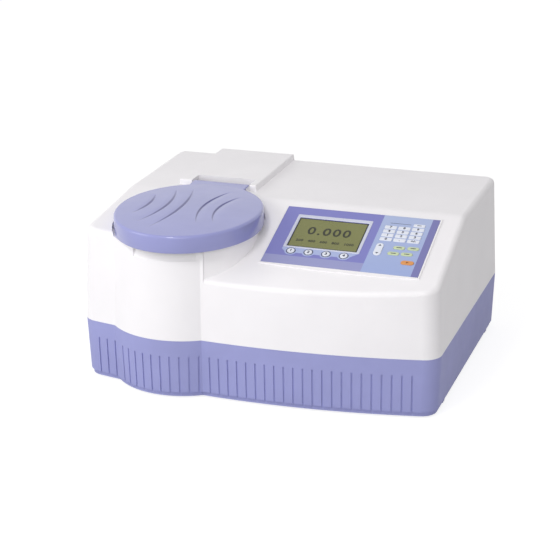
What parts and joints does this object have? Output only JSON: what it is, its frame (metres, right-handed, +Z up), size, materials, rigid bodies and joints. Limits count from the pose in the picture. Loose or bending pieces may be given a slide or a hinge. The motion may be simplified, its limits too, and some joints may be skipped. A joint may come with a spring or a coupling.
{
  "type": "uv-vis spectrophotometer",
  "caption": "Benchtop UV-visible spectrophotometer: ribbed base, white moulded cover, hinged oval sample lid over a cell carousel, sloped display and keypad deck.",
  "frame": {"origin": "on the table under the middle of the instrument's bounding box", "axes": "+X to the user's right, +Y to the back, +Z up"},
  "size_m": [0.54, 0.4474, 0.2571],
  "materials": {
    "white_housing": "fine moulded texture",
    "violet_housing": "fine moulded texture",
    "violet_lid": "satin moulded plastic",
    "black_foam": "closed-cell foam",
    "black_rubber": "matt rubber",
    "screw_steel": "zinc-plated",
    "bracket_steel": "nickel-plated",
    "black_plastic": "matt black",
    "black_gloss": "glossy black",
    "quartz_glass": "clear",
    "black_anodised": "black anodised",
    "motor_metal": "motor can",
    "violet_panel": "printed film, satin",
    "silver_bezel": "silver satin",
    "olive_screen": "liquid crystal, olive",
    "circuit_board": "solder mask",
    "cast_aluminium": "as cast",
    "sheet_aluminium": "brushed sheet",
    "front_mirror": "front-surface mirror",
    "white_key": "satin",
    "green_key": "satin",
    "orange_key": "satin"
  },
  "bodies": {
    "root": {"upper_cover": "white_housing", "base_case": "violet_housing", "rubber_feet": "black_rubber", "cover_screws": "screw_steel", "hinge_pin": "screw_steel", "hinge_bracket": "bracket_steel", "sample_well": "black_plastic", "beam_windows": "quartz_glass", "carousel_motor": "motor_metal", "grating_motor": "motor_metal", "filter_motor": "motor_metal", "control_panel": "violet_panel", "display_bezel": "silver_bezel", "display_screen": "olive_screen", "keypad_board": "circuit_board", "main_board": "circuit_board", "power_supply": "circuit_board", "optical_bench": "cast_aluminium", "monochromator_housing": "cast_aluminium", "slit_plates": "black_anodised", "collimating_mirrors": "front_mirror", "lamp_house": "sheet_aluminium", "deuterium_lamp": "quartz_glass", "halogen_lamp": "quartz_glass", "detector_module": "black_anodised", "rear_panel": "sheet_aluminium", "power_entry": "black_plastic", "data_ports": "bracket_steel", "fan_frame": "black_plastic"},
    "lid": {"sample_lid": "violet_lid", "lid_seal": "black_foam"},
    "carousel": {"cell_carousel": "black_anodised"},
    "grating": {"diffraction_grating": "front_mirror"},
    "filters": {"filter_wheel": "black_anodised"},
    "lamp_mirror": {"source_mirror": "front_mirror"},
    "fan": {"fan_rotor": "black_plastic"},
    "rocker": {"power_rocker": "black_gloss"},
    "soft_key_1_body": {"soft_key_1": "white_key"},
    "soft_key_2_body": {"soft_key_2": "white_key"},
    "soft_key_3_body": {"soft_key_3": "white_key"},
    "soft_key_4_body": {"soft_key_4": "white_key"},
    "number_key_7_body": {"number_key_7": "white_key"},
    "number_key_8_body": {"number_key_8": "white_key"},
    "number_key_9_body": {"number_key_9": "white_key"},
    "number_key_4_body": {"number_key_4": "white_key"},
    "number_key_5_body": {"number_key_5": "white_key"},
    "number_key_6_body": {"number_key_6": "white_key"},
    "number_key_1_body": {"number_key_1": "white_key"},
    "number_key_2_body": {"number_key_2": "white_key"},
    "number_key_3_body": {"number_key_3": "white_key"},
    "number_key_0_body": {"number_key_0": "white_key"},
    "number_key_point_body": {"number_key_point": "white_key"},
    "number_key_sign_body": {"number_key_sign": "white_key"},
    "clear_key_body": {"clear_key": "white_key"},
    "function_key_1_body": {"function_key_1": "green_key"},
    "function_key_2_body": {"function_key_2": "green_key"},
    "function_key_3_body": {"function_key_3": "green_key"},
    "function_key_4_body": {"function_key_4": "green_key"},
    "start_key_body": {"start_key": "orange_key"},
    "arrow_key_body": {"arrow_key": "white_key"}
  },
  "joints": [
    {"name": "lid_hinge", "type": "hinge", "parent": "root", "child": "lid", "pos_m": [-0.1238, 0.02656, 0.24549], "axis": [-1, 0, 0], "range_deg": [0, 95]},
    {"name": "carousel_turn", "type": "hinge", "parent": "root", "child": "carousel", "pos_m": [-0.1238, -0.0998, 0.1463], "axis": [0, 0, 1], "continuous": true},
    {"name": "rocker_tilt", "type": "hinge", "parent": "root", "child": "rocker", "pos_m": [0.178, 0.2184, 0.03], "axis": [-1, 0, 0], "range_deg": [0, 24]},
    {"name": "arrow_key_tilt", "type": "hinge", "parent": "root", "child": "arrow_key_body", "pos_m": [0.16, -0.09098, 0.21486], "axis": [1, 0, 0], "range_deg": [-1.6, 1.6], "stiffness_Nm_per_rad": 0.1},
    {"name": "mirror_turn", "type": "hinge", "parent": "root", "child": "lamp_mirror", "pos_m": [0.035, 0.145, 0.1463], "axis": [0, 0, 1], "range_deg": [0, 90]},
    {"name": "grating_turn", "type": "hinge", "parent": "root", "child": "grating", "pos_m": [0.076, 0.003, 0.1463], "axis": [0, 0, 1], "range_deg": [-35, 35]},
    {"name": "filter_turn", "type": "hinge", "parent": "root", "child": "filters", "pos_m": [0.059, 0.076, 0.1463], "axis": [0, 1, 0], "continuous": true},
    {"name": "fan_spin", "type": "hinge", "parent": "root", "child": "fan", "pos_m": [-0.032, 0.2099, 0.048], "axis": [0, 1, 0], "continuous": true},
    {"name": "soft_key_1_press", "type": "slide", "parent": "root", "child": "soft_key_1_body", "axis": [0, 0.3097, -0.9508], "range_m": [0, 0.0005], "stiffness_N_per_m": 1000},
    {"name": "soft_key_2_press", "type": "slide", "parent": "root", "child": "soft_key_2_body", "axis": [0, 0.3097, -0.9508], "range_m": [0, 0.0005], "stiffness_N_per_m": 1000},
    {"name": "soft_key_3_press", "type": "slide", "parent": "root", "child": "soft_key_3_body", "axis": [0, 0.3097, -0.9508], "range_m": [0, 0.0005], "stiffness_N_per_m": 1000},
    {"name": "soft_key_4_press", "type": "slide", "parent": "root", "child": "soft_key_4_body", "axis": [0, 0.3097, -0.9508], "range_m": [0, 0.0005], "stiffness_N_per_m": 1000},
    {"name": "number_key_7_press", "type": "slide", "parent": "root", "child": "number_key_7_body", "axis": [0, 0.3097, -0.9508], "range_m": [0, 0.0005], "stiffness_N_per_m": 1000},
    {"name": "number_key_8_press", "type": "slide", "parent": "root", "child": "number_key_8_body", "axis": [0, 0.3097, -0.9508], "range_m": [0, 0.0005], "stiffness_N_per_m": 1000},
    {"name": "number_key_9_press", "type": "slide", "parent": "root", "child": "number_key_9_body", "axis": [0, 0.3097, -0.9508], "range_m": [0, 0.0005], "stiffness_N_per_m": 1000},
    {"name": "number_key_4_press", "type": "slide", "parent": "root", "child": "number_key_4_body", "axis": [0, 0.3097, -0.9508], "range_m": [0, 0.0005], "stiffness_N_per_m": 1000},
    {"name": "number_key_5_press", "type": "slide", "parent": "root", "child": "number_key_5_body", "axis": [0, 0.3097, -0.9508], "range_m": [0, 0.0005], "stiffness_N_per_m": 1000},
    {"name": "number_key_6_press", "type": "slide", "parent": "root", "child": "number_key_6_body", "axis": [0, 0.3097, -0.9508], "range_m": [0, 0.0005], "stiffness_N_per_m": 1000},
    {"name": "number_key_1_press", "type": "slide", "parent": "root", "child": "number_key_1_body", "axis": [0, 0.3097, -0.9508], "range_m": [0, 0.0005], "stiffness_N_per_m": 1000},
    {"name": "number_key_2_press", "type": "slide", "parent": "root", "child": "number_key_2_body", "axis": [0, 0.3097, -0.9508], "range_m": [0, 0.0005], "stiffness_N_per_m": 1000},
    {"name": "number_key_3_press", "type": "slide", "parent": "root", "child": "number_key_3_body", "axis": [0, 0.3097, -0.9508], "range_m": [0, 0.0005], "stiffness_N_per_m": 1000},
    {"name": "number_key_0_press", "type": "slide", "parent": "root", "child": "number_key_0_body", "axis": [0, 0.3097, -0.9508], "range_m": [0, 0.0005], "stiffness_N_per_m": 1000},
    {"name": "number_key_point_press", "type": "slide", "parent": "root", "child": "number_key_point_body", "axis": [0, 0.3097, -0.9508], "range_m": [0, 0.0005], "stiffness_N_per_m": 1000},
    {"name": "number_key_sign_press", "type": "slide", "parent": "root", "child": "number_key_sign_body", "axis": [0, 0.3097, -0.9508], "range_m": [0, 0.0005], "stiffness_N_per_m": 1000},
    {"name": "clear_key_press", "type": "slide", "parent": "root", "child": "clear_key_body", "axis": [0, 0.3097, -0.9508], "range_m": [0, 0.0005], "stiffness_N_per_m": 1000},
    {"name": "function_key_1_press", "type": "slide", "parent": "root", "child": "function_key_1_body", "axis": [0, 0.3097, -0.9508], "range_m": [0, 0.0005], "stiffness_N_per_m": 1000},
    {"name": "function_key_2_press", "type": "slide", "parent": "root", "child": "function_key_2_body", "axis": [0, 0.3097, -0.9508], "range_m": [0, 0.0005], "stiffness_N_per_m": 1000},
    {"name": "function_key_3_press", "type": "slide", "parent": "root", "child": "function_key_3_body", "axis": [0, 0.3097, -0.9508], "range_m": [0, 0.0005], "stiffness_N_per_m": 1000},
    {"name": "function_key_4_press", "type": "slide", "parent": "root", "child": "function_key_4_body", "axis": [0, 0.3097, -0.9508], "range_m": [0, 0.0005], "stiffness_N_per_m": 1000},
    {"name": "start_key_press", "type": "slide", "parent": "root", "child": "start_key_body", "axis": [0, 0.3097, -0.9508], "range_m": [0, 0.0005], "stiffness_N_per_m": 1000}
  ]
}
